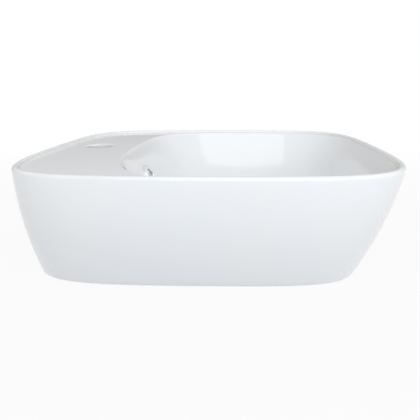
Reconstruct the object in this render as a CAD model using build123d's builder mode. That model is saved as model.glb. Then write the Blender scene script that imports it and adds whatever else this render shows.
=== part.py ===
"""Countertop basin with a side tap deck, an offset bowl and a click-clack waste.

Millimetres. +Z is up and the basin stands on z = 0. X runs along the long side, with the
tap deck at -X and the bowl at +X. The front is at -Y. The origin is under the middle of the rim.
"""
from build123d import *
import math
import os

# Glazed body: rim, outer wall and foot
rim_width = 400.0
rim_depth = 360.0
body_height = 120.0
rim_fullness = 0.945
rim_wall = 6.0
rim_outer_round = 3.4
rim_inner_round = 2.0
foot_left = 193.0
foot_right = 162.0
foot_half_depth = 139.0
foot_fullness = 0.965
foot_edge_round = 2.5
left_flare = 1.05
right_flare = 1.15
front_flare = 2.0
body_wall = 10.0
foot_land = 20.0
foot_land_height = 9.0

# Where the casting is divided: inside the outer wall, and across the deck beside the bowl
wall_seam_inset = 12.0
seam_above_land = 1.0
deck_seam = 16.0

# Tap deck and its hole
deck_drop = 3.5
deck_thickness = 10.0
tap_hole_radius = 17.5
tap_hole_round = 2.0
tap_hole_x = -152.0
tap_hole_y = 20.0

# Bowl: outline at the deck, sloped wall, coved floor
bowl_left = 102.0
bowl_ledge = 2.2
bowl_front_fullness = 0.68
bowl_back_fullness = 0.85
bowl_roll = 5.0
bowl_wall_tilt = 28.0
bowl_cove = 55.0
bowl_floor_height = 42.0
bowl_floor_fall = 1.5
bowl_skin = 9.0

# Waste hole, its boss and the overflow way round it
waste_x = 45.0
waste_hole_radius = 22.5
waste_seat_depth = 2.5
boss_radius = 42.0
boss_bottom = 12.0
chamber_top_skin = 7.0
chamber_height = 10.0
chamber_radius = 32.0
duct_depth = 10.0
duct_width = 36.0
duct_skin = 6.0
duct_round = 3.0
duct_end_gap = 2.0

# Overflow hole, ring and finned sleeve
overflow_height = 81.0
overflow_hole_radius = 12.0
ring_flange_radius = 15.0
ring_flange_thickness = 2.2
ring_sleeve_radius = 10.0
ring_sleeve_wall = 1.0
ring_sleeve_length = 10.0
ring_edge_round = 0.9
ring_stand_off = 0.3
fin_sleeve_wall = 0.8
fin_sleeve_length = 8.0
fin_sleeve_setback = 0.6
fin_count = 3
fin_thickness = 0.9

# Waste fitting: flange, threaded tail, cross bar
flange_radius = 32.0
flange_thickness = 2.0
flange_dish = 0.8
flange_dish_radius = 26.0
flange_edge_round = 0.6
tail_radius = 20.9
tail_bottom = 1.0
throat_radius = 16.5
throat_round = 1.5
outlet_thread_radius = 16.0
outlet_thread_length = 9.0
outlet_thread_stop = 1.0
thread_pitch = 2.309
thread_depth = 0.7
thread_turns = 4
slot_count = 6
slot_width = 9.0
slot_height = 7.0
slot_reach = 12.0
cross_bar_count = 3
cross_bar_width = 3.2
cross_bar_height = 4.0
hub_radius = 6.0

# Seals, slip washer and locknut
top_seal_thickness = 1.0
top_seal_inner = 22.8
top_seal_setback = 0.6
bottom_seal_height = 4.0
bottom_seal_radius = 29.0
bottom_seal_chamfer = 1.2
seal_nose_height = 2.0
slip_washer_thickness = 1.0
locknut_height = 5.5
locknut_across_flats = 54.0
locknut_chamfer = 0.8

# Click-clack cartridge and plug
plug_travel = 8.0
cartridge_radius = 8.5
cartridge_bore = 6.5
cartridge_floor = 2.0
cartridge_height = 22.5
spigot_radius = 3.5
retainer_head = 1.5
retainer_spigot = 2.5
stem_radius = 2.4
stem_upper_radius = 3.0
stem_tip_gap = 1.0
collar_radius = 5.8
collar_height = 2.0
rotor_radius = 5.6
rotor_height = 3.9
rotor_lug_count = 4
rotor_lug_reach = 0.6
rotor_lug_width = 2.0
spring_wire = 0.6
spring_radius = 4.4
spring_turns = 4
spring_preload_gap = 0.1
cap_radius = 31.0
cap_thickness = 3.0
cap_crown = 1.6
cap_edge_round = 1.0
cap_boss_radius = 5.5
cap_boss_height = 1.8
cap_socket_depth = 1.0
plug_seal_inner = 18.0
plug_seal_outer = 24.0
plug_seal_height = 2.6
plug_seal_groove = 1.4
plug_seal_round = 0.6

# Clearances
seat_gap = 0.05
running_gap = 0.06
loose_gap = 0.3
bore_gap = 0.15

# Outlines: an ellipse's fullness, and how many levels each smooth surface passes through
round_fullness = 0.5523
wall_levels = 5
cove_levels = 5
roll_levels = 4


def oval(centre_x, left, right, half_depth, front_left, back_left, right_fullness):
    """Closed outline as four quarter curves, each as full as its share: round_fullness is an ellipse."""
    quarters = []
    for side, end, fullness in (
        (right, half_depth, right_fullness),
        (-left, half_depth, back_left),
        (-left, -half_depth, front_left),
        (right, -half_depth, right_fullness),
    ):
        corner = [
            (centre_x + side, 0),
            (centre_x + side, end * fullness),
            (centre_x + side * fullness, end),
            (centre_x, end),
        ]
        quarters.append(corner if side * end > 0 else corner[::-1])
    return quarters


def flared(foot, rim, share, flare):
    """Half size of the outer wall at a share of the height."""
    return foot + (rim - foot) * (1 - (1 - share) ** flare)


def outer_outline(height, inset):
    """Outline of the outer wall at a height, drawn in by inset."""
    share = min(height / body_height, 1.0)
    fullness = foot_fullness + (rim_fullness - foot_fullness) * share
    return oval(
        0,
        flared(foot_left, rim_width / 2, share, left_flare) - inset,
        flared(foot_right, rim_width / 2, share, right_flare) - inset,
        flared(foot_half_depth, rim_depth / 2, share, front_flare) - inset,
        fullness,
        fullness,
        fullness,
    )


# Places worked out from the sizes above
deck_height = body_height - deck_drop
tilt = math.radians(bowl_wall_tilt)
bowl_right = rim_width / 2 - rim_wall - bowl_ledge
bowl_half_depth = rim_depth / 2 - rim_wall - bowl_ledge
cove_centre_height = bowl_floor_height + bowl_cove
cove_centre_inset = (deck_height - cove_centre_height) * math.tan(tilt) + bowl_cove / math.cos(tilt)
waste_rim_height = bowl_floor_height - bowl_floor_fall
waste_seat_height = waste_rim_height - waste_seat_depth
waste_recess_radius = flange_radius + loose_gap
chamber_top = waste_seat_height - chamber_top_skin
chamber_bottom = chamber_top - chamber_height
roll_reach = bowl_roll * math.tan((math.pi / 2 - tilt) / 2)
roll_bottom = deck_height - bowl_roll * (1 - math.sin(tilt))
hollow_top = deck_height - deck_thickness


def bowl_outline(inset, left_inset=None):
    """Outline of the bowl, drawn in from its edge at the deck, rounder as it narrows."""
    share = max(inset, 0.0) / cove_centre_inset
    centre_x = waste_x * share
    return oval(
        centre_x,
        bowl_left + centre_x - (inset if left_inset is None else left_inset),
        bowl_right - centre_x - inset,
        bowl_half_depth - inset,
        bowl_front_fullness + (round_fullness - bowl_front_fullness) * share,
        bowl_back_fullness + (round_fullness - bowl_back_fullness) * share,
        rim_fullness + (round_fullness - rim_fullness) * share,
    )


def wall_inset(height):
    """How far the sloped bowl wall has come in at a height."""
    return (deck_height - height) * math.tan(tilt)


def cove_point(angle, radius):
    """Inset and height of a point of the cove, by its angle under the horizontal."""
    return cove_centre_inset - radius * math.cos(angle), cove_centre_height - radius * math.sin(angle)


def even_steps(first, last, count):
    """Values from first to last in equal steps."""
    return [first + (last - first) * step / count for step in range(count + 1)]


def bowl_wall_stage(top_height, skin):
    """Heights and outlines of the sloped wall, thickened outwards by skin."""
    side, down = skin * math.cos(tilt), skin * math.sin(tilt)
    bottom_height = cove_point(tilt, bowl_cove)[1]
    return [
        (height - down, bowl_outline(wall_inset(height) - side))
        for height in even_steps(top_height, bottom_height, wall_levels)
    ]


def bowl_cove_stage(skin):
    """Heights and outlines of the cove between wall and floor, thickened outwards by skin."""
    stage = []
    for angle in even_steps(tilt, math.pi / 2, cove_levels):
        inset, height = cove_point(angle, bowl_cove + skin)
        stage.append((height, bowl_outline(inset)))
    return stage


def bowl_roll_stage():
    """Heights and outlines of the rolled edge between the deck and the bowl wall."""
    stage = []
    for angle in even_steps(math.pi / 2, tilt, roll_levels):
        height = deck_height - bowl_roll * (1 - math.sin(angle))
        left_inset = bowl_roll * math.cos(angle) - roll_reach
        stage.append((height, bowl_outline(wall_inset(height), left_inset)))
    return stage


def bowl_floor_stage():
    """Heights and outlines of the floor that falls to the waste, ending inside the flange's recess."""
    waste_ring = oval(waste_x, flange_radius, flange_radius, flange_radius, *[round_fullness] * 3)
    return [(bowl_floor_height, bowl_outline(cove_centre_inset)), (waste_rim_height, waste_ring)]


# Overflow: the plane of the bowl wall at the hole, looking into the bowl
overflow_x = wall_inset(overflow_height) - bowl_left
overflow_face = Plane(
    origin=(overflow_x, 0, overflow_height), x_dir=(0, 1, 0), z_dir=(math.cos(tilt), 0, math.sin(tilt))
)

# Overflow duct: the middle line runs down behind the bowl wall and under its floor
duct_offset = bowl_skin + duct_depth / 2
duct_arc = bowl_cove + duct_offset
duct_centre_x = cove_centre_inset - bowl_left
duct_low = cove_centre_height - duct_arc
duct_bend = (
    duct_centre_x - duct_arc * math.cos(tilt),
    cove_centre_height - duct_arc * math.sin(tilt),
)
duct_above_hole = overflow_hole_radius + duct_end_gap + duct_skin
duct_reach = (overflow_height - cove_point(tilt, bowl_cove)[1]) / math.cos(tilt) + duct_above_hole
duct_top = (
    duct_bend[0] - duct_reach * math.sin(tilt),
    duct_bend[1] + duct_reach * math.cos(tilt),
)
duct_start = Plane(
    origin=(duct_top[0], 0, duct_top[1]), x_dir=(0, 1, 0), z_dir=(math.sin(tilt), 0, -math.cos(tilt))
)
duct_mid_angle = (tilt + math.pi / 2) / 2
duct_mid = (
    duct_centre_x - duct_arc * math.cos(duct_mid_angle),
    cove_centre_height - duct_arc * math.sin(duct_mid_angle),
)

# Waste fitting levels, from the seat in the bowl down to the tail's end
flange_bottom = waste_seat_height + top_seal_thickness
flange_top = flange_bottom + flange_thickness
slot_middle = (chamber_top + chamber_bottom) / 2
cross_bar_bottom = tail_bottom + outlet_thread_length + outlet_thread_stop
cross_bar_top = cross_bar_bottom + cross_bar_height
seal_bottom = boss_bottom - bottom_seal_height
washer_bottom = seal_bottom - slip_washer_thickness
locknut_bottom = washer_bottom - locknut_height

# Cartridge levels, with the plug up
housing_bottom = cross_bar_top
housing_inside = housing_bottom + cartridge_floor
housing_top = housing_bottom + cartridge_height
collar_top = housing_top - retainer_spigot - loose_gap
collar_bottom = collar_top - collar_height
rotor_top = collar_bottom - spring_preload_gap
rotor_bottom = rotor_top - rotor_height
spring_top = rotor_bottom - spring_preload_gap
spring_bottom = housing_inside + spring_preload_gap
stem_bottom = housing_inside + plug_travel + stem_tip_gap
plug_seal_bottom = flange_top - flange_dish + loose_gap + plug_travel
cap_bottom = plug_seal_bottom + plug_seal_height - plug_seal_groove
cap_shoulder = cap_bottom + cap_thickness
cap_top = cap_shoulder + cap_crown


def waste_level(height):
    """Level plane on the waste's axis."""
    return Plane(origin=(waste_x, 0, height))


# Upright plane through the waste's axis, for turned profiles
waste_section = Plane(origin=(waste_x, 0, 0), x_dir=(1, 0, 0), z_dir=(0, -1, 0))
waste_axis = Axis((waste_x, 0, 0), (0, 0, 1))
os.makedirs("parts", exist_ok=True)

# Middle line of the overflow duct, from above the overflow hole to the waste hole
with BuildLine() as duct_path:
    Line((duct_top[0], 0, duct_top[1]), (duct_bend[0], 0, duct_bend[1]))
    ThreePointArc(
        (duct_bend[0], 0, duct_bend[1]), (duct_mid[0], 0, duct_mid[1]), (duct_centre_x, 0, duct_low)
    )
    Line((duct_centre_x, 0, duct_low), (waste_x - waste_hole_radius, 0, duct_low))

# Outside of the duct, left standing in the hollow underside
with BuildPart() as duct_casing:
    with BuildSketch(duct_start):
        Rectangle(duct_width + 2 * duct_skin, duct_depth + 2 * duct_skin)
        fillet(vertices(), duct_round + duct_skin)
    sweep(path=duct_path.wire())

# Inside of the duct, with a closed end above the overflow hole
with BuildPart() as duct_channel:
    with BuildSketch(duct_start):
        Rectangle(duct_width, duct_depth)
        fillet(vertices(), duct_round)
    sweep(path=duct_path.wire())
    with BuildSketch(duct_start):
        Rectangle(duct_width + duct_skin, duct_depth + duct_skin)
    extrude(amount=duct_skin, mode=Mode.SUBTRACT)

# Space inside the bowl: rolled edge, sloped wall, cove, and a floor that falls to the waste
with BuildPart() as bowl_space:
    for stage in (bowl_roll_stage(), bowl_wall_stage(roll_bottom, 0.0), bowl_cove_stage(0.0)):
        for height, outline in stage:
            with BuildSketch(Plane.XY.offset(height)):
                with BuildLine():
                    for quarter in outline:
                        Bezier(*quarter)
                make_face()
        loft()
    for height, outline in bowl_floor_stage():
        with BuildSketch(Plane.XY.offset(height)):
            with BuildLine():
                for quarter in outline:
                    Bezier(*quarter)
            make_face()
    loft(ruled=True)
    with BuildSketch(Plane.XY.offset(deck_height)):
        with BuildLine():
            for quarter in bowl_outline(0.0, -roll_reach):
                Bezier(*quarter)
        make_face()
    extrude(amount=deck_drop)

# Hollow underside: inside of the outer wall, less the bowl's shell, the waste boss and the duct
with BuildPart() as underside_hollow:
    for height in even_steps(foot_land_height, hollow_top, wall_levels):
        with BuildSketch(Plane.XY.offset(height)):
            with BuildLine():
                for quarter in outer_outline(height, body_wall):
                    Bezier(*quarter)
            make_face()
    loft()
    with BuildSketch(Plane.XY):
        with BuildLine():
            for quarter in outer_outline(0.0, foot_land):
                Bezier(*quarter)
        make_face()
    extrude(amount=foot_land_height + loose_gap)
    for stage in (bowl_wall_stage(deck_height, bowl_skin), bowl_cove_stage(bowl_skin)):
        for height, outline in stage:
            with BuildSketch(Plane.XY.offset(height)):
                with BuildLine():
                    for quarter in outline:
                        Bezier(*quarter)
                make_face()
        loft(mode=Mode.SUBTRACT)
    with BuildSketch(waste_level(boss_bottom)):
        Circle(boss_radius)
    extrude(amount=bowl_floor_height - boss_bottom, mode=Mode.SUBTRACT)
    add(duct_casing.part, mode=Mode.SUBTRACT)

# The casting, whole
with BuildPart() as casting:
    for height in even_steps(0.0, body_height, wall_levels):
        with BuildSketch(Plane.XY.offset(height)):
            with BuildLine():
                for quarter in outer_outline(height, 0.0):
                    Bezier(*quarter)
            make_face()
    loft()
    fillet(faces().sort_by(Axis.Z)[0].edges(), foot_edge_round)
    with BuildSketch(Plane.XY.offset(deck_height)):
        with BuildLine():
            for quarter in outer_outline(body_height, rim_wall):
                Bezier(*quarter)
        make_face()
    extrude(amount=2 * deck_drop, mode=Mode.SUBTRACT)
    rim_edges = faces().filter_by(Axis.Z).sort_by(Axis.Z)[-1].edges().sort_by(SortBy.LENGTH)
    fillet(rim_edges[-1], rim_outer_round)
    rim_edges = faces().filter_by(Axis.Z).sort_by(Axis.Z)[-1].edges().sort_by(SortBy.LENGTH)
    fillet(rim_edges[0], rim_inner_round)
    add(bowl_space.part, mode=Mode.SUBTRACT)
    add(underside_hollow.part, mode=Mode.SUBTRACT)
    add(duct_channel.part, mode=Mode.SUBTRACT)
    with BuildSketch(waste_level(waste_seat_height)):
        Circle(waste_recess_radius)
    extrude(amount=waste_seat_depth + bowl_floor_fall, mode=Mode.SUBTRACT)
    with BuildSketch(waste_level(chamber_bottom)):
        Circle(chamber_radius)
    extrude(amount=chamber_height, mode=Mode.SUBTRACT)
    with BuildSketch(waste_level(boss_bottom)):
        Circle(waste_hole_radius)
    extrude(amount=waste_seat_height - boss_bottom, mode=Mode.SUBTRACT)
    with BuildSketch(overflow_face.offset(bowl_skin / 2)):
        Circle(overflow_hole_radius)
    extrude(amount=-(bowl_skin / 2 + duct_offset), mode=Mode.SUBTRACT)
    with BuildSketch(Plane(origin=(tap_hole_x, tap_hole_y, hollow_top))):
        Circle(tap_hole_radius)
    extrude(amount=2 * deck_thickness, mode=Mode.SUBTRACT)
    tap_edges = edges().filter_by(GeomType.CIRCLE).filter_by(lambda e: abs(e.radius - tap_hole_radius) < seat_gap)
    fillet(tap_edges.sort_by(Axis.Z)[-1], tap_hole_round)

# Space inside the outer wall, which divides the casting
with BuildPart() as core_space:
    for height in even_steps(foot_land_height + seam_above_land, body_height, wall_levels):
        with BuildSketch(Plane.XY.offset(height)):
            with BuildLine():
                for quarter in outer_outline(height, wall_seam_inset):
                    Bezier(*quarter)
            make_face()
    loft()

# Outer wall of the casting, with its rim and foot
with BuildPart() as outer_wall:
    add(casting.part)
    add(core_space.part, mode=Mode.SUBTRACT)
outer_wall.part.label = "outer_wall"
export_step(outer_wall.part, "parts/outer_wall.step")

# Tap deck, left of the bowl
deck_seam_plane = Plane(origin=(-bowl_left - deck_seam, 0, 0), z_dir=(-1, 0, 0))
with BuildPart() as tap_deck:
    add(casting.part)
    add(core_space.part, mode=Mode.INTERSECT)
    split(bisect_by=deck_seam_plane, keep=Keep.TOP)
tap_deck.part.label = "tap_deck"
export_step(tap_deck.part, "parts/tap_deck.step")

# Bowl, with its floor and the upper run of the overflow duct
boss_seam_plane = Plane.XY.offset(chamber_top)
with BuildPart() as bowl_shell:
    add(casting.part)
    add(core_space.part, mode=Mode.INTERSECT)
    split(bisect_by=deck_seam_plane, keep=Keep.BOTTOM)
    split(bisect_by=boss_seam_plane, keep=Keep.TOP)
bowl_shell.part.label = "bowl_shell"
export_step(bowl_shell.part, "parts/bowl_shell.step")

# Waste boss under the bowl, with the lower run of the overflow duct
with BuildPart() as waste_boss:
    add(casting.part)
    add(core_space.part, mode=Mode.INTERSECT)
    split(bisect_by=boss_seam_plane, keep=Keep.BOTTOM)
waste_boss.part.label = "waste_boss"
export_step(waste_boss.part, "parts/waste_boss.step")

# Overflow ring: a plated trim ring with a thin sleeve that goes into the hole
ring_face = overflow_face.offset(ring_stand_off)
ring_axis = Axis(ring_face.origin, ring_face.z_dir)
with BuildPart() as overflow_ring:
    with BuildSketch(ring_face):
        Circle(ring_flange_radius)
    extrude(amount=ring_flange_thickness)
    with BuildSketch(ring_face):
        Circle(ring_sleeve_radius)
    extrude(amount=-ring_sleeve_length)
    with BuildSketch(ring_face.offset(-ring_sleeve_length)):
        Circle(ring_sleeve_radius - ring_sleeve_wall)
    extrude(amount=ring_sleeve_length + ring_flange_thickness, mode=Mode.SUBTRACT)
    fillet(faces().sort_by(ring_axis)[-1].edges(), ring_edge_round)
overflow_ring.part.label = "overflow_ring"
export_step(overflow_ring.part, "parts/overflow_ring.step")

# Finned sleeve: the soft plastic grip between the ring's sleeve and the hole
fin_sleeve_radius = ring_sleeve_radius + seat_gap + fin_sleeve_wall
fin_pitch = (fin_sleeve_length - fin_thickness) / (fin_count - 1)
with BuildPart() as overflow_fin_sleeve:
    with BuildSketch(ring_face.offset(-fin_sleeve_setback - fin_sleeve_length)):
        Circle(fin_sleeve_radius)
    extrude(amount=fin_sleeve_length)
    for fin in range(fin_count):
        with BuildSketch(ring_face.offset(-fin_sleeve_setback - fin_sleeve_length + fin * fin_pitch)):
            Circle(overflow_hole_radius - bore_gap)
        extrude(amount=fin_thickness)
    with BuildSketch(ring_face.offset(-fin_sleeve_setback - fin_sleeve_length)):
        Circle(ring_sleeve_radius + seat_gap)
    extrude(amount=fin_sleeve_length, mode=Mode.SUBTRACT)
overflow_fin_sleeve.part.label = "overflow_fin_sleeve"
export_step(overflow_fin_sleeve.part, "parts/overflow_fin_sleeve.step")

# Waste body: flange, threaded tail with overflow slots, cross bar with a hub
with BuildPart() as waste_body:
    with BuildSketch(waste_level(flange_bottom)):
        Circle(flange_radius)
    extrude(amount=flange_thickness)
    fillet(faces().sort_by(Axis.Z)[-1].edges(), flange_edge_round)
    with BuildSketch(waste_level(flange_top - flange_dish)):
        Circle(flange_dish_radius)
    extrude(amount=flange_dish, mode=Mode.SUBTRACT)
    with BuildSketch(waste_level(tail_bottom)):
        Circle(tail_radius)
    extrude(amount=flange_bottom - tail_bottom)
    with BuildSketch(waste_level(tail_bottom)):
        Circle(throat_radius)
    extrude(amount=flange_top - tail_bottom, mode=Mode.SUBTRACT)
    throat_edges = edges().filter_by(GeomType.CIRCLE).filter_by(
        lambda edge: abs(edge.radius - throat_radius) < seat_gap
    )
    fillet(throat_edges.sort_by(Axis.Z)[-1], throat_round)
    with BuildSketch(waste_level(tail_bottom)):
        Circle(throat_radius + seat_gap)
        Circle(outlet_thread_radius, mode=Mode.SUBTRACT)
    extrude(amount=outlet_thread_length)
    with BuildSketch(waste_section):
        for turn in range(thread_turns):
            with Locations((tail_radius, tail_bottom + thread_pitch * (turn + 1))):
                Polygon(
                    (seat_gap, -thread_depth),
                    (seat_gap, thread_depth),
                    (-thread_depth, 0),
                    align=None,
                )
    revolve(axis=waste_axis, mode=Mode.SUBTRACT)
    with BuildSketch(waste_level(slot_middle - slot_height / 2)):
        with PolarLocations(tail_radius, slot_count):
            Rectangle(slot_reach, slot_width)
    extrude(amount=slot_height, mode=Mode.SUBTRACT)
    with BuildSketch(waste_level(cross_bar_bottom)):
        with PolarLocations((hub_radius + throat_radius) / 2, cross_bar_count):
            Rectangle(throat_radius - hub_radius + 2 * loose_gap, cross_bar_width)
        Circle(hub_radius)
        Circle(spigot_radius + seat_gap, mode=Mode.SUBTRACT)
    extrude(amount=cross_bar_height)
waste_body.part.label = "waste_body"
export_step(waste_body.part, "parts/waste_body.step")

# Flat seal under the flange
with BuildPart() as waste_top_seal:
    with BuildSketch(waste_level(waste_seat_height)):
        Circle(flange_radius - top_seal_setback)
        Circle(top_seal_inner, mode=Mode.SUBTRACT)
    extrude(amount=top_seal_thickness)
waste_top_seal.part.label = "waste_top_seal"
export_step(waste_top_seal.part, "parts/waste_top_seal.step")

# Tapered seal under the boss, with a nose in the waste hole
seal_inner = tail_radius + bore_gap
nose_foot = waste_hole_radius - bore_gap
nose_tip = (seal_inner + nose_foot) / 2
with BuildPart() as waste_bottom_seal:
    with BuildSketch(waste_section):
        with BuildLine():
            Polyline(
                (seal_inner, seal_bottom),
                (bottom_seal_radius, seal_bottom),
                (bottom_seal_radius, boss_bottom - bottom_seal_chamfer),
                (bottom_seal_radius - bottom_seal_chamfer, boss_bottom),
                (nose_foot, boss_bottom),
                (nose_tip, boss_bottom + seal_nose_height),
                (seal_inner, boss_bottom + seal_nose_height),
                close=True,
            )
        make_face()
    revolve(axis=waste_axis)
waste_bottom_seal.part.label = "waste_bottom_seal"
export_step(waste_bottom_seal.part, "parts/waste_bottom_seal.step")

# Slip washer between the seal and the locknut
with BuildPart() as waste_slip_washer:
    with BuildSketch(waste_level(washer_bottom)):
        Circle(bottom_seal_radius)
        Circle(seal_inner, mode=Mode.SUBTRACT)
    extrude(amount=slip_washer_thickness)
waste_slip_washer.part.label = "waste_slip_washer"
export_step(waste_slip_washer.part, "parts/waste_slip_washer.step")

# Hexagon locknut on the tail
with BuildPart() as waste_locknut:
    with BuildSketch(waste_level(locknut_bottom)):
        RegularPolygon(locknut_across_flats / 2, 6, major_radius=False)
    extrude(amount=locknut_height)
    chamfer(faces().sort_by(Axis.Z)[0].edges(), locknut_chamfer)
    with BuildSketch(waste_level(locknut_bottom)):
        Circle(tail_radius + bore_gap)
    extrude(amount=locknut_height, mode=Mode.SUBTRACT)
waste_locknut.part.label = "waste_locknut"
export_step(waste_locknut.part, "parts/waste_locknut.step")

# Cartridge housing: a cup on the cross bar, held by its spigot
with BuildPart() as cartridge_housing:
    with BuildSketch(waste_level(housing_bottom)):
        Circle(cartridge_radius)
    extrude(amount=cartridge_height)
    with BuildSketch(waste_level(housing_inside)):
        Circle(cartridge_bore)
    extrude(amount=cartridge_height - cartridge_floor, mode=Mode.SUBTRACT)
    with BuildSketch(waste_level(cross_bar_bottom)):
        Circle(spigot_radius)
    extrude(amount=cross_bar_height)
cartridge_housing.part.label = "cartridge_housing"
export_step(cartridge_housing.part, "parts/cartridge_housing.step")

# Cartridge retainer: guides the stem and keeps its collar in
with BuildPart() as cartridge_retainer:
    with BuildSketch(waste_level(housing_top)):
        Circle(cartridge_radius)
    extrude(amount=retainer_head)
    with BuildSketch(waste_level(housing_top - retainer_spigot)):
        Circle(cartridge_bore - seat_gap)
    extrude(amount=retainer_spigot)
    with BuildSketch(waste_level(housing_top - retainer_spigot)):
        Circle(stem_upper_radius + running_gap)
    extrude(amount=retainer_spigot + retainer_head, mode=Mode.SUBTRACT)
cartridge_retainer.part.label = "cartridge_retainer"
export_step(cartridge_retainer.part, "parts/cartridge_retainer.step")

# Latch rotor: turns as the stem is pressed
with BuildPart() as latch_rotor:
    with BuildSketch(waste_level(rotor_bottom)):
        Circle(rotor_radius)
        with PolarLocations(rotor_radius, rotor_lug_count):
            Rectangle(2 * rotor_lug_reach, rotor_lug_width)
        Circle(stem_radius + running_gap, mode=Mode.SUBTRACT)
    extrude(amount=rotor_height)
latch_rotor.part.label = "latch_rotor"
export_step(latch_rotor.part, "parts/latch_rotor.step")

# Return spring under the rotor
spring_rise = spring_top - spring_bottom - spring_wire
with BuildPart() as plunger_spring:
    with BuildLine(waste_level(spring_bottom + spring_wire / 2)):
        spring_line = Helix(spring_rise / spring_turns, spring_rise, spring_radius)
    with BuildSketch(Plane(origin=spring_line @ 0, z_dir=spring_line % 0)):
        Circle(spring_wire / 2)
    sweep(is_frenet=True)
plunger_spring.part.label = "plunger_spring"
export_step(plunger_spring.part, "parts/plunger_spring.step")

# Plug stem: tip through rotor and spring, collar over the rotor, neck up into the cap
with BuildPart() as plug_stem:
    with BuildSketch(waste_level(stem_bottom)):
        Circle(stem_radius)
    extrude(amount=collar_bottom - stem_bottom)
    with BuildSketch(waste_level(collar_bottom)):
        Circle(collar_radius)
    extrude(amount=collar_height)
    with BuildSketch(waste_level(collar_top)):
        Circle(stem_upper_radius)
    extrude(amount=cap_bottom + cap_socket_depth - seat_gap - collar_top)
plug_stem.part.label = "plug_stem"
export_step(plug_stem.part, "parts/plug_stem.step")

# Plug cap: a low dome with a seal groove and a socket for the stem
with BuildPart() as plug_cap:
    with BuildSketch(waste_section):
        with BuildLine():
            Line((0, cap_bottom), (cap_radius, cap_bottom))
            Line((cap_radius, cap_bottom), (cap_radius, cap_shoulder))
            TangentArc((0, cap_top), (cap_radius, cap_shoulder), tangent=(1, 0))
            Line((0, cap_top), (0, cap_bottom))
        make_face()
        fillet(vertices().group_by(Axis.X)[-1].sort_by(Axis.Y)[-1], cap_edge_round)
    revolve(axis=waste_axis)
    with BuildSketch(waste_level(cap_bottom - cap_boss_height)):
        Circle(cap_boss_radius)
    extrude(amount=cap_boss_height)
    with BuildSketch(waste_level(cap_bottom - cap_boss_height)):
        Circle(stem_upper_radius + seat_gap)
    extrude(amount=cap_boss_height + cap_socket_depth, mode=Mode.SUBTRACT)
    with BuildSketch(waste_level(cap_bottom)):
        Circle(plug_seal_outer + seat_gap)
        Circle(plug_seal_inner - seat_gap, mode=Mode.SUBTRACT)
    extrude(amount=plug_seal_groove, mode=Mode.SUBTRACT)
plug_cap.part.label = "plug_cap"
export_step(plug_cap.part, "parts/plug_cap.step")

# Plug seal in the cap's groove
with BuildPart() as plug_seal:
    with BuildSketch(waste_level(plug_seal_bottom)):
        Circle(plug_seal_outer)
        Circle(plug_seal_inner, mode=Mode.SUBTRACT)
    extrude(amount=plug_seal_height)
    fillet(faces().sort_by(Axis.Z)[0].edges(), plug_seal_round)
plug_seal.part.label = "plug_seal"
export_step(plug_seal.part, "parts/plug_seal.step")
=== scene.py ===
"""Looks of a glazed countertop basin with a side tap deck, an offset bowl and a click-clack waste.

Metres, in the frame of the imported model: +Z is up, the tap deck is at -X and the front at -Y.
"""
from __future__ import annotations

import logging
import math
from dataclasses import dataclass
from enum import Enum
from typing import Iterable, Sequence

import bmesh
import bpy
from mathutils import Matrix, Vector


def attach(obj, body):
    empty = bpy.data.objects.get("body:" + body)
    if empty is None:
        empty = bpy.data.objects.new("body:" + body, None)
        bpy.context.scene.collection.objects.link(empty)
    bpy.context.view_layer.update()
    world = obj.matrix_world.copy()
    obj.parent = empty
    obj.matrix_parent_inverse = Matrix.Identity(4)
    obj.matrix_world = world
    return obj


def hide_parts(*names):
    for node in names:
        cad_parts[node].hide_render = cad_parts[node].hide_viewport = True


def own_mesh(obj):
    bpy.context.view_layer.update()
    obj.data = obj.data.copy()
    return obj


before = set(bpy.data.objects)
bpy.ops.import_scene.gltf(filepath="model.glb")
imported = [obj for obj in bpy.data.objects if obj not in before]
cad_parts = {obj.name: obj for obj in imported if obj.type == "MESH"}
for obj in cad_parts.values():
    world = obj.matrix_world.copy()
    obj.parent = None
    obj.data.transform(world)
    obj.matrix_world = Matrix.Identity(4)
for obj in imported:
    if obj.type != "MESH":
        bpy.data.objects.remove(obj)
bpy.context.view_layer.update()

log = logging.getLogger("basin")
MM = 0.001
Colour = tuple[float, float, float]
Ring = list[bmesh.types.BMVert]


class Body(Enum):
    """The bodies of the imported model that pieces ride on."""

    BASIN = "basin"
    PLUG = "plug"
    ROTOR = "rotor"


class Slot(Enum):
    """The material slots of the record."""

    GLAZE = "glaze"
    PLATING = "plating"
    SEAL = "seal_rubber"
    SLIP = "slip_plastic"
    SOFT = "soft_plastic"
    BRASS = "brass"
    CARTRIDGE = "cartridge_plastic"
    SPRING = "spring_steel"


# Finishes


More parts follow.
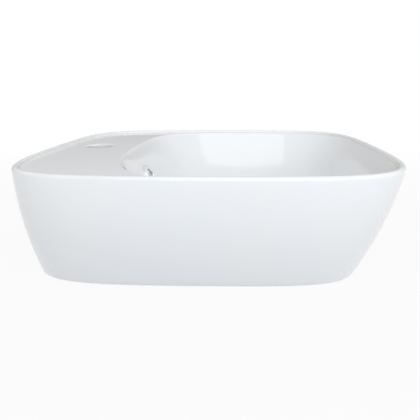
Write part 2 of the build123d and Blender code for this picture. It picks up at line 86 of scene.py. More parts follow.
class NodeSheet:
    """A material's node tree, with short calls to add and join nodes."""

    def __init__(self, name: str) -> None:
        """Starts an empty material.

        Args:
            name: The material's name.
        """
        self.material = bpy.data.materials.new(name)
        self.tree = self.cleared(self.material)
        self.place = self.add("ShaderNodeTexCoord").outputs["Object"]

    @staticmethod
    def cleared(owner: bpy.types.Material | bpy.types.World) -> bpy.types.NodeTree:
        """The owner's node tree, switched on and emptied."""
        owner.use_nodes = True
        owner.node_tree.nodes.clear()
        return owner.node_tree

    def add(self, kind: str, values: dict[str, object] | None = None, **settings: object) -> bpy.types.Node:
        """Adds a node.

        Args:
            kind: The node's type.
            values: Values of its input sockets, or sockets to join to them, by name.
            **settings: Attributes of the node itself.

        Returns:
            The new node.
        """
        node = self.tree.nodes.new(kind)
        for key, value in settings.items():
            setattr(node, key, value)
        for key, value in (values or {}).items():
            if isinstance(value, bpy.types.NodeSocket):
                self.tree.links.new(value, node.inputs[key])
            else:
                node.inputs[key].default_value = value
        return node

    def noise(
        self, scale: float, detail: float = 2.0, stretch: Sequence[float] | None = None
    ) -> bpy.types.NodeSocket:
        """Noise over the piece.

        Args:
            scale: Features per metre.
            detail: Octaves of finer noise.
            stretch: Scale along each axis, for grain.

        Returns:
            The noise's value.
        """
        place = self.place
        if stretch is not None:
            place = self.add("ShaderNodeMapping", {"Vector": self.place, "Scale": stretch}).outputs["Vector"]
        return self.add(
            "ShaderNodeTexNoise", {"Vector": place, "Scale": scale, "Detail": detail, "Roughness": 0.5}
        ).outputs["Fac"]

    def spread(
        self, value: bpy.types.NodeSocket, low: float, high: float, to_low: float, to_high: float
    ) -> bpy.types.NodeSocket:
        """Maps a value from one range to another, held at both ends.

        Args:
            value: The value.
            low: Start of its range.
            high: End of its range.
            to_low: Result at the start.
            to_high: Result at the end.

        Returns:
            The mapped value.
        """
        return self.add(
            "ShaderNodeMapRange",
            {"Value": value, "From Min": low, "From Max": high, "To Min": to_low, "To Max": to_high},
        ).outputs["Result"]

    def blend(self, share: bpy.types.NodeSocket, first: object, second: object) -> bpy.types.NodeSocket:
        """Mixes two colours.

        Args:
            share: How much of the second colour shows.
            first: The first colour, or a socket.
            second: The second colour, or a socket.

        Returns:
            The mixed colour.
        """
        node = self.add("ShaderNodeMix", data_type="RGBA")
        self.tree.links.new(share, node.inputs["Factor"])
        for socket, colour in ((node.inputs[6], first), (node.inputs[7], second)):
            if isinstance(colour, bpy.types.NodeSocket):
                self.tree.links.new(colour, socket)
            else:
                socket.default_value = (*colour, 1.0)
        return node.outputs[2]

    def bump(
        self, height: bpy.types.NodeSocket, distance: float, under: bpy.types.NodeSocket | None = None
    ) -> bpy.types.NodeSocket:
        """Bump from a height.

        Args:
            height: The height, from 0 to 1.
            distance: What a height of 1 stands for, in metres.
            under: A coarser bump that this one lies on.

        Returns:
            The bent normal.
        """
        values = {"Height": height, "Distance": distance, "Strength": 1.0}
        if under is not None:
            values["Normal"] = under
        return self.add("ShaderNodeBump", values).outputs["Normal"]

    def finish(self, values: dict[str, object]) -> bpy.types.Material:
        """Joins a Principled surface to the output.

        Args:
            values: The surface's sockets.

        Returns:
            The material.
        """
        surface = self.add("ShaderNodeBsdfPrincipled", values)
        output = self.add("ShaderNodeOutputMaterial")
        self.tree.links.new(surface.outputs["BSDF"], output.inputs["Surface"])
        return self.material


@dataclass(frozen=True)
class SanitaryGlaze:
    """Thick white glaze, slightly uneven, over a fired body that shows on the ground foot."""

    cool: Colour = (0.905, 0.918, 0.935)
    warm: Colour = (0.922, 0.925, 0.922)
    bisque: Colour = (0.70, 0.675, 0.63)
    speck: Colour = (0.60, 0.60, 0.59)
    foot_land: float = 0.35 * MM
    wave: float = 0.10 * MM
    peel: float = 0.004 * MM

    def material(self) -> bpy.types.Material:
        """Builds the glaze."""
        sheet = NodeSheet("sanitary_glaze")
        height = sheet.add("ShaderNodeSeparateXYZ", {"Vector": sheet.place}).outputs["Z"]
        on_foot = sheet.spread(height, self.foot_land, self.foot_land + 0.25 * MM, 1.0, 0.0)
        pool = sheet.spread(sheet.noise(9.0, 3.0), 0.35, 0.65, 0.0, 1.0)
        cells = sheet.add("ShaderNodeTexVoronoi", {"Vector": sheet.place, "Scale": 26.0}).outputs
        dots = sheet.spread(cells["Distance"], 0.006, 0.012, 1.0, 0.0)
        glaze = sheet.blend(pool, self.cool, self.warm)
        glaze = sheet.blend(sheet.spread(dots, 0.0, 1.0, 0.0, 0.5), glaze, self.speck)
        grain = sheet.noise(900.0, 4.0)
        colour = sheet.blend(on_foot, glaze, sheet.blend(grain, self.bisque, (0.62, 0.59, 0.55)))
        shine = sheet.spread(sheet.noise(40.0, 4.0), 0.3, 0.7, 0.045, 0.085)
        rough = sheet.add("ShaderNodeMath", {0: shine}, operation="ADD")
        sheet.tree.links.new(sheet.spread(on_foot, 0.0, 1.0, 0.0, 0.6), rough.inputs[1])
        waves = sheet.bump(sheet.noise(16.0, 1.0), self.wave)
        peel = sheet.bump(sheet.noise(420.0, 1.0), self.peel, waves)
        return sheet.finish({
            "Base Color": colour,
            "Roughness": rough.outputs[0],
            "Normal": peel,
            "IOR": 1.52,
            "Coat Weight": 0.35,
            "Coat Roughness": 0.02,
            "Coat IOR": 1.5,
        })


@dataclass(frozen=True)
class BrightPlating:
    """Polished chrome plating with faint handling marks."""

    colour: Colour = (0.78, 0.79, 0.805)
    hazed: Colour = (0.745, 0.755, 0.77)

    def material(self) -> bpy.types.Material:
        """Builds the plating."""
        sheet = NodeSheet("bright_plating")
        haze = sheet.spread(sheet.noise(90.0, 3.0), 0.40, 0.75, 0.0, 1.0)
        marks = sheet.noise(1500.0, 2.0, (1.0, 0.15, 1.0))
        shine = sheet.spread(sheet.noise(60.0, 3.0), 0.3, 0.75, 0.045, 0.075)
        return sheet.finish({
            "Base Color": sheet.blend(haze, self.colour, self.hazed),
            "Metallic": 1.0,
            "Roughness": shine,
            "Normal": sheet.bump(marks, 0.002 * MM),
        })


@dataclass(frozen=True)
class TurnedMetal:
    """Metal with fine rings from the lathe, about the waste's axis."""

    name: str
    colour: Colour
    dull: Colour
    rough: float
    rings: float = 1400.0

    def material(self) -> bpy.types.Material:
        """Builds the turned metal."""
        sheet = NodeSheet(self.name)
        centred = sheet.add("ShaderNodeMapping", {"Vector": sheet.place, "Location": (-0.045, 0.0, 0.0)})
        rings = sheet.add(
            "ShaderNodeTexWave",
            {"Vector": centred.outputs["Vector"], "Scale": self.rings, "Distortion": 0.6, "Detail": 2.0},
            wave_type="RINGS",
            rings_direction="Z",
        ).outputs["Fac"]
        stain = sheet.spread(sheet.noise(140.0, 5.0), 0.4, 0.7, 0.0, 1.0)
        shine = sheet.spread(sheet.noise(300.0, 3.0), 0.3, 0.7, self.rough - 0.08, self.rough + 0.1)
        return sheet.finish({
            "Base Color": sheet.blend(stain, self.colour, self.dull),
            "Metallic": 1.0,
            "Roughness": shine,
            "Normal": sheet.bump(rings, 0.006 * MM),
        })


@dataclass(frozen=True)
class Moulding:
    """Moulded rubber or plastic, with a faint grain and handling bloom."""

    name: str
    colour: Colour
    bloom: Colour
    rough: float
    grain: float = 0.01 * MM
    scatter: float = 0.0

    def material(self) -> bpy.types.Material:
        """Builds the moulding's finish."""
        sheet = NodeSheet(self.name)
        bloom = sheet.spread(sheet.noise(160.0, 5.0), 0.45, 0.75, 0.0, 1.0)
        shine = sheet.spread(sheet.noise(500.0, 3.0), 0.3, 0.7, self.rough - 0.07, self.rough + 0.07)
        return sheet.finish({
            "Base Color": sheet.blend(bloom, self.colour, self.bloom),
            "Roughness": shine,
            "Normal": sheet.bump(sheet.noise(2400.0, 2.0), self.grain),
            "IOR": 1.5,
            "Subsurface Weight": self.scatter,
            "Subsurface Scale": 0.002,
        })


@dataclass(frozen=True)
class Finishes:
    """All finishes of the basin, built once."""

    glaze: bpy.types.Material
    plating: bpy.types.Material
    brass: bpy.types.Material
    spring: bpy.types.Material
    rubber: bpy.types.Material
    slip: bpy.types.Material
    soft: bpy.types.Material
    cartridge: bpy.types.Material

    @classmethod
    def build(cls) -> "Finishes":
        """Builds every finish."""
        return cls(
            glaze=SanitaryGlaze().material(),
            plating=BrightPlating().material(),
            brass=TurnedMetal("machined_brass", (0.66, 0.47, 0.20), (0.48, 0.34, 0.17), 0.30).material(),
            spring=TurnedMetal("spring_wire", (0.56, 0.57, 0.59), (0.42, 0.42, 0.43), 0.26, 300.0).material(),
            rubber=Moulding("black_seal_rubber", (0.022, 0.022, 0.023), (0.05, 0.05, 0.05), 0.55).material(),
            slip=Moulding("slip_plastic", (0.74, 0.74, 0.70), (0.66, 0.66, 0.62), 0.38).material(),
            soft=Moulding("soft_plastic", (0.66, 0.68, 0.66), (0.6, 0.61, 0.6), 0.42, scatter=0.2).material(),
            cartridge=Moulding("cartridge_plastic", (0.78, 0.78, 0.75), (0.7, 0.7, 0.67), 0.34).material(),
        )


# Mesh work


def finished(
    bm: bmesh.types.BMesh, name: str, material: bpy.types.Material, sharp: float = 40.0
) -> bpy.types.Object:
    """Turns a bmesh into a shown object with its faces outwards.

    Args:
        bm: The bmesh, which is freed.
        name: The piece's name.
        material: Its finish.
        sharp: Edges that bend more than this many degrees are shaded sharp.

    Returns:
        The object, linked to the scene.
    """
    bmesh.ops.remove_doubles(bm, verts=bm.verts, dist=0.002 * MM)
    bmesh.ops.recalc_face_normals(bm, faces=bm.faces)
    for face in bm.faces:
        face.smooth = True
    for edge in bm.edges:
        if len(edge.link_faces) == 2 and edge.calc_face_angle(0.0) > math.radians(sharp):
            edge.smooth = False
    mesh = bpy.data.meshes.new(name)
    bm.to_mesh(mesh)
    bm.free()
    mesh.materials.append(material)
    piece = bpy.data.objects.new(name, mesh)
    bpy.context.scene.collection.objects.link(piece)
    return piece


def settle(piece: bpy.types.Object, body: Body, slot: Slot, *nodes: str) -> None:
    """Makes a piece ride on its body and stand for its nodes.

    Args:
        piece: The piece.
        body: The body it rides on.
        slot: Not used.
        *nodes: The nodes it stands for.
    """
    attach(piece, body.value)
    if nodes:
        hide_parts(*nodes)
    log.info("%s: %d faces, on %s", piece.name, len(piece.data.polygons), body.value)


def smoothed_copy(
    node: str, material: bpy.types.Material, body: Body, slot: Slot, sharp: float = 28.0
) -> bpy.types.Object:
    """A node's own shape, welded and smooth shaded, in place of its loose triangles.

    Args:
        node: The node that is copied and replaced.
        material: Its finish.
        body: The body it rides on.
        slot: The record's material slot.
        sharp: Edges that bend more than this many degrees stay sharp.

    Returns:
        The new piece.
    """
    bm = bmesh.new()
    bm.from_mesh(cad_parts[node].data)
    bmesh.ops.remove_doubles(bm, verts=bm.verts, dist=0.001 * MM)
    piece = finished(bm, node + "_dressed", material, sharp)
    settle(piece, body, slot, node)
    return piece


class Skin:
    """A surface grown ring by ring, each new ring extruded from the last."""

    def __init__(self, count: int) -> None:
        """Starts an empty surface.

        Args:
            count: Points in each ring.
        """
        self.bm = bmesh.new()
        self.count = count

    def start(self, points: Sequence[Vector]) -> Ring:
        """Makes the first ring from a circle."""
        ring = bmesh.ops.create_circle(self.bm, cap_ends=False, radius=1.0, segments=len(points))["verts"]
        return self.move(ring, points)

    def move(self, ring: Ring, points: Sequence[Vector]) -> Ring:
        """Moves a ring's points to new places."""
        for vert, point in zip(ring, points):
            vert.co = point
        return ring

    def edges(self, ring: Ring) -> list[bmesh.types.BMEdge]:
        """The edges round a ring."""
        return [self.bm.edges.get((a, b)) for a, b in zip(ring, ring[1:] + ring[:1])]

    def grow(self, ring: Ring, points: Sequence[Vector]) -> Ring:
        """Extrudes a ring and moves the new one to its points."""
        made = bmesh.ops.extrude_edge_only(self.bm, edges=self.edges(ring))["geom"]
        new = {item for item in made if isinstance(item, bmesh.types.BMVert)}
        follow = [next(e.other_vert(v) for e in v.link_edges if e.other_vert(v) in new) for v in ring]
        return self.move(follow, points)

    def run(self, ring: Ring, levels: Iterable[Sequence[Vector]]) -> Ring:
        """Grows a ring through several levels."""
        for points in levels:
            ring = self.grow(ring, points)
        return ring

    def fill(self, rings: Sequence[Ring], up: float) -> None:
        """Fills the flat land between closed rings with triangles.

        Args:
            rings: The outer ring and the holes in it.
            up: 1 for a face that looks up and -1 for one that looks down.
        """
        edges = [edge for ring in rings for edge in self.edges(ring)]
        bmesh.ops.triangle_fill(self.bm, use_beauty=True, edges=edges, normal=(0.0, 0.0, up))


def steps(first: float, last: float, count: int) -> list[float]:
    """Even steps from first to last, without the first."""
    return [first + (last - first) * (step + 1) / count for step in range(count)]


def circle(centre: Vector, radius: float, count: int) -> list[Vector]:
    """Points of a level circle."""
    turn = [2 * math.pi * step / count for step in range(count)]
    return [centre + Vector((radius * math.cos(a), radius * math.sin(a), 0.0)) for a in turn]


@dataclass(frozen=True)
class Oval:
    """A closed outline of four quarter curves, each with its own fullness."""

    centre: float
    left: float
    right: float
    half_depth: float
    front_left: float
    back_left: float
    right_full: float

    def points(self, height: float, count: int) -> list[Vector]:
        """Points round the outline, anticlockwise from +X.

        Args:
            height: Their height.
            count: How many, a multiple of four.

        Returns:
            The points.
        """
        found = []
        quarters = (
            (self.right, self.half_depth, self.right_full, False),
            (-self.left, self.half_depth, self.back_left, True),
            (-self.left, -self.half_depth, self.front_left, False),
            (self.right, -self.half_depth, self.right_full, True),
        )
        for side, end, full, backwards in quarters:
            for step in range(count // 4):
                t = step / (count // 4)
                t = 1 - t if backwards else t
                ends, middles = (1 - t) ** 3 + 3 * t * (1 - t) ** 2, 3 * t * t * (1 - t)
                x = side * (ends + middles * full)
                ends, middles = t ** 3 + 3 * t * t * (1 - t), 3 * t * (1 - t) ** 2
                y = end * (ends + middles * full)
                found.append(Vector((self.centre + x, y, height)))
        return found


@dataclass
class GlazedBody:
    """The cast body: foot, flared wall, rounded rim, sunk deck, bowl, waste seat and underside."""

    rim_half_width: float = 200.0 * MM
    rim_half_depth: float = 180.0 * MM
    height: float = 120.0 * MM
    rim_full: float = 0.945
    rim_wall: float = 6.0 * MM
    outer_round: float = 3.4 * MM
    inner_round: float = 2.0 * MM
    foot_left: float = 193.0 * MM
    foot_right: float = 162.0 * MM
    foot_half_depth: float = 139.0 * MM
    foot_full: float = 0.965
    foot_round: float = 2.5 * MM
    left_flare: float = 1.05
    right_flare: float = 1.15
    front_flare: float = 2.0
    wall: float = 10.0 * MM
    foot_land: float = 20.0 * MM
    land_height: float = 9.0 * MM
    inside_cad: float = 0.28 * MM
    deck_drop: float = 3.5 * MM
    gutter: float = 1.4 * MM
    deck_thickness: float = 10.0 * MM
    tap_hole: Vector = Vector((-152.0 * MM, 20.0 * MM, 0.0))
    tap_radius: float = 17.5 * MM
    tap_round: float = 2.0 * MM
    tap_land: float = 0.5 * MM
    tap_count: int = 96
    edge_land: float = 0.3 * MM
    bowl_left: float = 102.0 * MM
    ledge: float = 2.2 * MM
    ledge_round: float = 0.9 * MM
    front_full: float = 0.68
    back_full: float = 0.85
    roll: float = 5.0 * MM
    tilt: float = math.radians(28.0)
    cove: float = 55.0 * MM
    floor: float = 42.0 * MM
    floor_fall: float = 1.5 * MM
    skin: float = 9.0 * MM
    waste_x: float = 45.0 * MM
    waste_hole: float = 22.5 * MM
    recess: float = 32.3 * MM
    recess_depth: float = 2.5 * MM
    boss: float = 42.0 * MM
    boss_bottom: float = 12.0 * MM
    overflow_height: float = 81.0 * MM
    overflow_radius: float = 12.0 * MM
    count: int = 384
    round_full: float = 0.5523

    def __post_init__(self) -> None:
        """Works out the places that follow from the sizes."""
        self.deck = self.height - self.deck_drop
        self.bowl_right = self.rim_half_width - self.rim_wall - self.ledge
        self.bowl_half = self.rim_half_depth - self.rim_wall - self.ledge
        self.cove_height = self.floor + self.cove
        above_cove = (self.deck - self.cove_height) * math.tan(self.tilt)
        self.cove_inset = above_cove + self.cove / math.cos(self.tilt)
        self.roll_reach = self.roll * math.tan((math.pi / 2 - self.tilt) / 2)
        self.hollow_top = self.deck - self.deck_thickness
        self.waste = Vector((self.waste_x, 0.0, 0.0))
        self.overflow_out = Vector((math.cos(self.tilt), 0.0, math.sin(self.tilt)))
        self.overflow_at = Vector(
            (self.wall_inset(self.overflow_height) - self.bowl_left, 0.0, self.overflow_height)
        )

    def wall_inset(self, height: float) -> float:
        """How far the bowl's sloped wall has come in at a height."""
        return (self.deck - height) * math.tan(self.tilt)

    def outer(self, height: float, inset: float) -> list[Vector]:
        """The outer wall's ring at a height, drawn in by inset."""
        share = min(max(height / self.height, 0.0), 1.0)
        full = self.foot_full + (self.rim_full - self.foot_full) * share

        def flared(foot: float, rim: float, flare: float) -> float:
            """Half size of the wall at this height."""
            return foot + (rim - foot) * (1 - (1 - share) ** flare) - inset - self.inside_cad

        return Oval(
            0.0,
            flared(self.foot_left, self.rim_half_width, self.left_flare),
            flared(self.foot_right, self.rim_half_width, self.right_flare),
            flared(self.foot_half_depth, self.rim_half_depth, self.front_flare),
            full, full, full,
        ).points(height, self.count)

    def bowl(self, height: float, inset: float, left_inset: float | None = None) -> list[Vector]:
        """The bowl's ring at a height, drawn in by inset, rounder as it narrows."""
        share = max(inset, 0.0) / self.cove_inset
        centre = self.waste_x * share

        def eased(full: float) -> float:
            """Fullness that turns to round towards the floor."""
            return full + (self.round_full - full) * share

        return Oval(
            centre,
            self.bowl_left + centre - (inset if left_inset is None else left_inset),
            self.bowl_right - centre - inset,
            self.bowl_half - inset,
            eased(self.front_full), eased(self.back_full), eased(self.rim_full),
        ).points(height, self.count)

    def foot_levels(self) -> list[list[Vector]]:
        """Rings of the foot's rounded edge and of the outer wall up to the rim's round."""
        levels = []
        for angle in steps(0.0, math.pi / 2, 6):
            height = self.foot_round * (1 - math.cos(angle))
            levels.append(self.outer(height, self.foot_round * (1 - math.sin(angle))))
        top = self.height - self.outer_round
        levels += [self.outer(height, 0.0) for height in steps(self.foot_round, top, 34)]
        return levels

    def rim_levels(self) -> list[list[Vector]]:
        """Rings over the rim and down to the deck."""
        levels = []
        for angle in steps(0.0, math.pi / 2, 9):
            height = self.height - self.outer_round * (1 - math.sin(angle))
            levels.append(self.outer(height, self.outer_round * (1 - math.cos(angle))))
        for angle in steps(0.0, math.pi / 2, 7):
            height = self.height - self.inner_round * (1 - math.cos(angle))
            inset = self.rim_wall - self.inner_round * (1 - math.sin(angle))
            levels.append([p.xy.to_3d() + Vector((0, 0, height)) for p in self.outer(self.height, inset)])
        for angle in steps(0.0, math.pi / 2, 6):
            height = self.deck + self.gutter * (1 - math.sin(angle))
            inset = self.rim_wall + self.gutter * (1 - math.cos(angle))
            levels.append([p.xy.to_3d() + Vector((0, 0, height)) for p in self.outer(self.height, inset)])
        return levels

    def edge_levels(self) -> list[list[Vector]]:
        """Rings from the deck over the bowl's rolled edge to the start of the sloped wall."""
        levels = []
        soft = self.ledge_round
        for angle in steps(math.pi / 2, self.tilt, 14):
            turned = (math.pi / 2 - angle) / (math.pi / 2 - self.tilt)
            height = self.deck - self.roll * (1 - math.sin(angle))
            left = self.roll * math.cos(angle) - self.roll_reach
            ease = soft * max(0.0, 1 - (self.deck - height) / (1.2 * soft)) ** 2 * min(1.0, 3 * turned)
            levels.append(self.bowl(height, self.wall_inset(height) - ease, left))
        return levels

    def wall_levels(self) -> list[list[Vector]]:
        """Rings of the bowl's sloped wall, its cove and its floor."""
        top = self.deck - self.roll * (1 - math.sin(self.tilt))
        bottom = self.cove_height - self.cove * math.sin(self.tilt)
        levels = [self.bowl(height, self.wall_inset(height)) for height in steps(top, bottom, 16)]
        for angle in steps(self.tilt, math.pi / 2, 22):
            inset = self.cove_inset - self.cove * math.cos(angle)
            levels.append(self.bowl(self.cove_height - self.cove * math.sin(angle), inset))
        return levels

    def shell(self) -> bmesh.types.BMesh:
        """Grows the whole body as one closed skin.

        Returns:
            The bmesh.
        """
        skin = Skin(self.count)
        foot = skin.start(self.outer(0.0, self.foot_land))
        ring = skin.grow(foot, self.outer(0.0, self.foot_round + 1.5 * MM))
        ring = skin.grow(ring, self.outer(0.0, self.foot_round))
        ring = skin.run(ring, self.foot_levels())
        ring = skin.run(ring, self.rim_levels())
        deck_level = Vector((0, 0, self.deck))
        rim_line = self.outer(self.height, self.rim_wall + self.gutter + self.edge_land)
        deck_edge = skin.grow(ring, [point.xy.to_3d() + deck_level for point in rim_line])

        bowl_line = self.bowl(
            self.deck, -self.ledge_round - self.edge_land, -self.roll_reach - 2 * self.edge_land
        )
        bowl_land = skin.start(bowl_line)
        ring = skin.grow(bowl_land, self.bowl(self.deck, -self.ledge_round, -self.roll_reach))
        ring = skin.run(ring, self.edge_levels())
        ring = skin.run(ring, self.wall_levels())
        ring = self.waste_seat(skin, ring)
        inside = self.underside(skin, foot, ring)

        tap_at, tap_lip = self.tap_hole + deck_level, self.tap_radius + self.tap_round
        tap_land = skin.start(circle(tap_at, tap_lip + self.tap_land, self.tap_count))
        ring = skin.grow(tap_land, circle(tap_at, tap_lip, self.tap_count))
        for angle in steps(0.0, math.pi / 2, 7):
            radius = self.tap_radius + self.tap_round * (1 - math.sin(angle))
            level = self.deck - self.tap_round * (1 - math.cos(angle))
            ring = skin.grow(ring, circle(self.tap_hole + Vector((0, 0, level)), radius, self.tap_count))
        tap_under = self.tap_hole + Vector((0, 0, self.hollow_top))
        ring = skin.grow(ring, circle(tap_under, self.tap_radius, self.tap_count))
        skin.fill((deck_edge, bowl_land, tap_land), 1.0)
        skin.fill((*inside, ring), -1.0)
        self.open_overflow(skin)
        return skin.bm

    def waste_seat(self, skin: Skin, ring: Ring) -> Ring:
        """Takes the bowl's floor to the waste: the fall, the recess and the hole down through the boss."""
        drop = self.floor - self.floor_fall
        falls = (0.25, 0.5, 0.75, 1.0)
        outer = self.bowl(self.floor, self.cove_inset)
        edge = self.recess + 0.8 * MM
        inner = Oval(self.waste_x, *[edge] * 3, *[self.round_full] * 3).points(drop, self.count)
        for share in falls:
            ring = skin.grow(ring, [a.lerp(b, share) for a, b in zip(outer, inner)])
        for height, radius in (
            (drop - 0.25 * MM, self.recess + 0.25 * MM),
            (drop - 0.8 * MM, self.recess),
            (drop - self.recess_depth, self.recess),
            (drop - self.recess_depth, self.waste_hole + 0.5 * MM),
            (drop - self.recess_depth - 0.5 * MM, self.waste_hole),
            (self.boss_bottom + 0.5 * MM, self.waste_hole),
            (self.boss_bottom, self.waste_hole + 0.5 * MM),
            (self.boss_bottom, self.boss - 1.5 * MM),
            (self.boss_bottom + 1.5 * MM, self.boss),
        ):
            round_ring = Oval(self.waste_x, radius, radius, radius, *[self.round_full] * 3)
            ring = skin.grow(ring, round_ring.points(height, self.count))
        return ring

    def underside(self, skin: Skin, foot: Ring, boss: Ring) -> tuple[Ring, Ring]:
        """Grows the hollow underside from the boss and from the foot up to the deck's lower face.

        Args:
            skin: The surface being grown.
            foot: The ring at the foot's inner edge.
            boss: The ring on the boss's side.

        Returns:
            The rings at the hollow's top, outside and round the bowl.
        """
        low = self.floor - self.skin
        joint = Oval(self.waste_x, *[self.boss] * 3, *[self.round_full] * 3).points(low - 4 * MM, self.count)
        ring = skin.grow(boss, joint)
        spread = Oval(self.waste_x, *[self.boss + 4 * MM] * 3, *[self.round_full] * 3).points(low, self.count)
        ring = skin.grow(ring, spread)
        for angle in steps(math.pi / 2, self.tilt, 12)[2:]:
            inset = self.cove_inset - (self.cove + self.skin) * math.cos(angle)
            height = self.cove_height - (self.cove + self.skin) * math.sin(angle)
            ring = skin.grow(ring, self.bowl(height, inset))
        side = self.skin / math.cos(self.tilt)
        start = self.cove_height - (self.cove + self.skin) * math.sin(self.tilt)
        for height in steps(start, self.hollow_top, 8):
            ring = skin.grow(ring, self.bowl(height, self.wall_inset(height) - side))
        outside = skin.grow(foot, self.outer(self.land_height, self.foot_land))
        outside = skin.grow(outside, self.outer(self.land_height, self.wall))
        heights = steps(self.land_height, self.hollow_top, 14)
        outside = skin.run(outside, [self.outer(height, self.wall) for height in heights])
        return outside, ring

    def open_overflow(self, skin: Skin) -> None:
        """Opens the overflow hole in the bowl's wall and takes it back as a closed passage."""
        reach = 1.12 * self.overflow_radius
        near = [
            face for face in skin.bm.faces
            if self.from_axis(face.calc_center_median()).length < reach
            and abs((face.calc_center_median() - self.overflow_at).dot(self.overflow_out)) < 0.4 * self.skin
        ]
        bmesh.ops.delete(skin.bm, geom=near, context="FACES")
        rim = [
            edge for edge in skin.bm.edges
            if edge.is_boundary and (edge.verts[0].co - self.overflow_at).length < 2 * reach
        ]
        for vert in {v for edge in rim for v in edge.verts}:
            off = self.from_axis(vert.co)
            vert.co += off * (self.overflow_radius / off.length - 1)
        for depth in (0.6 * MM, 2 * self.skin):
            made = bmesh.ops.extrude_edge_only(skin.bm, edges=rim)["geom"]
            verts = [item for item in made if isinstance(item, bmesh.types.BMVert)]
            bmesh.ops.translate(skin.bm, verts=verts, vec=self.overflow_out * -depth)
            rim = [item for item in made if isinstance(item, bmesh.types.BMEdge)]
        bmesh.ops.contextual_create(skin.bm, geom=rim)

    def from_axis(self, point: Vector) -> Vector:
        """The way from the overflow's axis to a point, square to the axis."""
        off = point - self.overflow_at
        return off - self.overflow_out * off.dot(self.overflow_out)

    def build(self, finishes: Finishes) -> bpy.types.Object:
        """Builds and dresses the body.

        Args:
            finishes: The finishes.

        Returns:
            The glazed body.
        """
        piece = finished(self.shell(), "glazed_body", finishes.glaze, 50.0)
        settle(piece, Body.BASIN, Slot.GLAZE, "outer_wall", "tap_deck", "bowl_shell", "waste_boss")
        return piece


@dataclass
class OverflowDuct:
    """The duct's casing in the hollow underside, from above the overflow hole to the waste boss."""

    cast: GlazedBody
    width: float = 48.0 * MM
    depth: float = 22.0 * MM
    channel: float = 10.0 * MM
    above_hole: float = 20.0 * MM
    end_round: float = 3.0 * MM
    full: float = 0.86
    count: int = 96

    def ring(self, centre: Vector, across: Vector, inset: float = 0.0) -> list[Vector]:
        """The casing's ring about a point of its middle line.

        Args:
            centre: The point.
            across: The way through the casing's depth.
            inset: How far the ring is drawn in.

        Returns:
            The ring's points.
        """
        half, side = self.depth / 2 - inset, self.width / 2 - inset
        flat = Oval(0.0, half, half, side, self.full, self.full, self.full).points(0.0, self.count)
        return [centre + across * point.x + Vector((0.0, point.y, 0.0)) for point in flat]

    def build(self, finishes: Finishes) -> bpy.types.Object:
        """Builds and dresses the casing.

        Args:
            finishes: The finishes.

        Returns:
            The casing.
        """
        cast = self.cast
        middle = Vector((cast.cove_inset - cast.bowl_left, 0.0, cast.cove_height))
        arc = cast.cove + cast.skin + self.channel / 2
        hole_rise = cast.overflow_height - (cast.cove_height - cast.cove * math.sin(cast.tilt))
        reach = hole_rise / math.cos(cast.tilt) + self.above_hole
        across = Vector((-math.cos(cast.tilt), 0.0, -math.sin(cast.tilt)))
        up = Vector((-math.sin(cast.tilt), 0.0, math.cos(cast.tilt)))
        top = middle + across * arc + up * reach
        skin = Skin(self.count)
        first = skin.start(self.ring(top, across, self.end_round))
        bmesh.ops.contextual_create(skin.bm, geom=skin.edges(first))
        ring = first
        for angle in steps(0.0, math.pi / 2, 5):
            drop = self.end_round * (1 - math.cos(angle))
            ring = skin.grow(ring, self.ring(top - up * drop, across, self.end_round * (1 - math.sin(angle))))
        ring = skin.grow(ring, self.ring(middle + across * arc, across))
        for angle in steps(cast.tilt, math.pi / 2, 16):
            across = Vector((-math.cos(angle), 0.0, -math.sin(angle)))
            ring = skin.grow(ring, self.ring(middle + across * arc, across))
        inside_boss = Vector((cast.waste_x - cast.boss + self.depth / 2, 0.0, cast.cove_height - arc))
        ring = skin.grow(ring, self.ring(inside_boss, across))
        bmesh.ops.contextual_create(skin.bm, geom=skin.edges(ring))
        piece = finished(skin.bm, "overflow_duct_casing", finishes.glaze, 50.0)
        settle(piece, Body.BASIN, Slot.GLAZE)
        return piece


@dataclass
class WasteAndOverflow:
    """The metal, rubber and plastic pieces, from their own solids."""

    finishes: Finishes
    spring_foot: Vector = Vector((45.0 * MM, 0.0, 17.1 * MM))
    spring_length: float = 11.5 * MM
    plug_travel: float = 8.0 * MM

    def build(self) -> None:
        """Dresses each piece, and gives the spring a mesh of its own."""
        f = self.finishes
        for node, material, body, slot in (
            ("overflow_ring", f.plating, Body.BASIN, Slot.PLATING),
            ("overflow_fin_sleeve", f.soft, Body.BASIN, Slot.SOFT),
            ("waste_body", f.plating, Body.BASIN, Slot.PLATING),
            ("waste_top_seal", f.rubber, Body.BASIN, Slot.SEAL),
            ("waste_bottom_seal", f.rubber, Body.BASIN, Slot.SEAL),
            ("waste_slip_washer", f.slip, Body.BASIN, Slot.SLIP),
            ("waste_locknut", f.brass, Body.BASIN, Slot.BRASS),
            ("cartridge_housing", f.cartridge, Body.BASIN, Slot.CARTRIDGE),
            ("cartridge_retainer", f.cartridge, Body.BASIN, Slot.CARTRIDGE),
            ("plunger_spring", f.spring, Body.BASIN, Slot.SPRING),
            ("plug_cap", f.plating, Body.PLUG, Slot.PLATING),
            ("plug_seal", f.rubber, Body.PLUG, Slot.SEAL),
            ("plug_stem", f.brass, Body.PLUG, Slot.BRASS),
            ("latch_rotor", f.cartridge, Body.ROTOR, Slot.CARTRIDGE),
        ):
            piece = smoothed_copy(node, material, body, slot)
            if node == "plunger_spring":
                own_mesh(piece)


# Studio


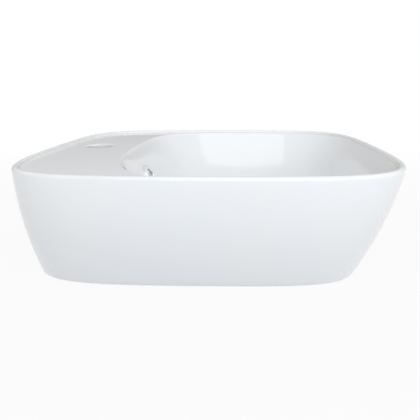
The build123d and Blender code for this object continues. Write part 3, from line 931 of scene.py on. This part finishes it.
@dataclass(frozen=True)
class Softbox:
    """A rectangular lamp aimed at the basin."""

    name: str
    place: Vector
    width: float
    height: float
    power: float
    colour: Colour = (1.0, 1.0, 1.0)
    aim: Vector = Vector((0.0, 0.0, 0.06))

    def build(self) -> bpy.types.Object:
        """Adds the lamp.

        Returns:
            The lamp's object.
        """
        lamp = bpy.data.lights.new(self.name, "AREA")
        lamp.shape = "RECTANGLE"
        lamp.size, lamp.size_y = self.width, self.height
        lamp.energy = self.power
        lamp.color = self.colour
        piece = bpy.data.objects.new(self.name, lamp)
        piece.location = self.place
        piece.rotation_euler = (self.aim - self.place).to_track_quat("-Z", "Y").to_euler()
        bpy.context.scene.collection.objects.link(piece)
        return piece


class SkySheet(NodeSheet):
    """The world's node tree."""

    def __init__(self, world: bpy.types.World) -> None:
        """Starts an empty world.

        Args:
            world: The world.
        """
        self.tree = self.cleared(world)
        self.place = self.add("ShaderNodeTexCoord").outputs["Generated"]

    def between(self, share: bpy.types.NodeSocket, first: object, second: object) -> bpy.types.NodeSocket:
        """Mixes two numbers.

        Args:
            share: How much of the second number counts.
            first: The first number, or a socket.
            second: The second number, or a socket.

        Returns:
            The mixed number.
        """
        return self.add("ShaderNodeMix", {0: share, 2: first, 3: second}, data_type="FLOAT").outputs[0]


@dataclass
class Studio:
    """A pale floor, a white surround, soft lamps and the camera."""

    floor_side: float = 24.0
    surround: float = 0.54
    low_reflection: float = 0.50
    camera_place: Vector = Vector((0.0292, -0.5152, 0.1958))
    camera_turn: float = 0.019
    camera_pitch: float = math.radians(13.06)
    lens: float = 35.73
    shift: tuple[float, float] = (-0.049, -0.0714)

    def seen_directly(self, sheet: NodeSheet) -> bpy.types.NodeSocket:
        """1 for camera, glossy and transmitted rays, and 0 for the light that falls on things."""
        path = sheet.add("ShaderNodeLightPath").outputs
        gloss = sheet.add(
            "ShaderNodeMath", {0: path["Is Camera Ray"], 1: path["Is Glossy Ray"]}, operation="MAXIMUM"
        )
        return sheet.add(
            "ShaderNodeMath", {0: gloss.outputs[0], 1: path["Is Transmission Ray"]}, operation="MAXIMUM"
        ).outputs[0]

    def build_floor(self) -> bpy.types.Object:
        """Lays the floor: plain and pale, white where it is far from the basin.

        Returns:
            The floor.
        """
        bm = bmesh.new()
        bmesh.ops.create_grid(bm, x_segments=8, y_segments=8, size=self.floor_side / 2)
        sheet = NodeSheet("pale_floor")
        far = sheet.add("ShaderNodeVectorMath", {0: sheet.place}, operation="LENGTH").outputs["Value"]
        lit = sheet.spread(far, 0.22, 1.0, 0.91, 1.0)
        seen = self.seen_directly(sheet)
        share = sheet.add("ShaderNodeMath", {0: seen, 1: lit}, operation="MULTIPLY").outputs[0]
        matt = sheet.add("ShaderNodeBsdfDiffuse", {"Color": (0.70, 0.70, 0.70, 1.0)})
        glow = sheet.add("ShaderNodeEmission", {"Color": (1.0, 1.0, 1.0, 1.0), "Strength": 1.0})
        both = sheet.add("ShaderNodeMixShader", {0: share, 1: matt.outputs[0], 2: glow.outputs[0]})
        output = sheet.add("ShaderNodeOutputMaterial")
        sheet.tree.links.new(both.outputs[0], output.inputs["Surface"])
        floor = finished(bm, "floor", sheet.material)
        return floor

    def build_surround(self) -> None:
        """Sets the world: white where it is seen, an even dome as light, greyer low down in reflections."""
        world = bpy.data.worlds.new("surround")
        dome = SkySheet(world)
        path = dome.add("ShaderNodeLightPath").outputs
        seen = dome.add(
            "ShaderNodeMath", {0: path["Is Camera Ray"], 1: path["Is Transmission Ray"]}, operation="MAXIMUM"
        )
        rise = dome.add("ShaderNodeSeparateXYZ", {"Vector": dome.place}).outputs["Z"]
        mirrored = dome.spread(rise, 0.02, 0.62, self.low_reflection, 1.0)
        glossy = dome.between(path["Is Glossy Ray"], self.surround, mirrored)
        strength = dome.between(seen.outputs[0], glossy, 1.0)
        glow = dome.add("ShaderNodeBackground", {"Color": (1.0, 1.0, 1.0, 1.0), "Strength": strength})
        output = dome.add("ShaderNodeOutputWorld")
        dome.tree.links.new(glow.outputs[0], output.inputs["Surface"])
        bpy.context.scene.world = world

    def build_camera(self) -> None:
        """Sets the camera at the photograph's viewpoint."""
        data = bpy.data.cameras.new("viewpoint")
        data.sensor_width = 36.0
        data.lens = self.lens
        data.shift_x, data.shift_y = self.shift
        data.clip_start, data.clip_end = 0.01, 100.0
        camera = bpy.data.objects.new("viewpoint", data)
        camera.location = self.camera_place
        camera.rotation_euler = (math.pi / 2 - self.camera_pitch, 0.0, self.camera_turn)
        bpy.context.scene.collection.objects.link(camera)
        bpy.context.scene.camera = camera

    def build(self) -> None:
        """Sets up the whole studio."""
        self.build_floor()
        self.build_surround()
        for box in (
            Softbox("window_light", Vector((0.1, -1.0, 1.15)), 1.5, 0.9, 5.2, (0.95, 0.975, 1.0)),
            Softbox("front_fill", Vector((0.4, -1.85, 0.55)), 1.7, 0.9, 7.8, (0.80, 0.90, 1.0)),
            Softbox("right_key", Vector((1.25, -1.05, 0.95)), 1.2, 0.9, 4.5, (0.95, 0.975, 1.0)),
        ):
            box.build()
        self.build_camera()
        scene = bpy.context.scene
        scene.view_settings.view_transform = "Standard"


def main() -> None:
    """Builds the basin and its studio, logging each piece's face count."""
    logging.basicConfig(level=logging.INFO, format="%(name)s: %(message)s")
    finishes = Finishes.build()
    cast = GlazedBody()
    cast.build(finishes)
    OverflowDuct(cast).build(finishes)
    WasteAndOverflow(finishes).build()
    Studio().build()


if __name__ == "__main__":
    main()
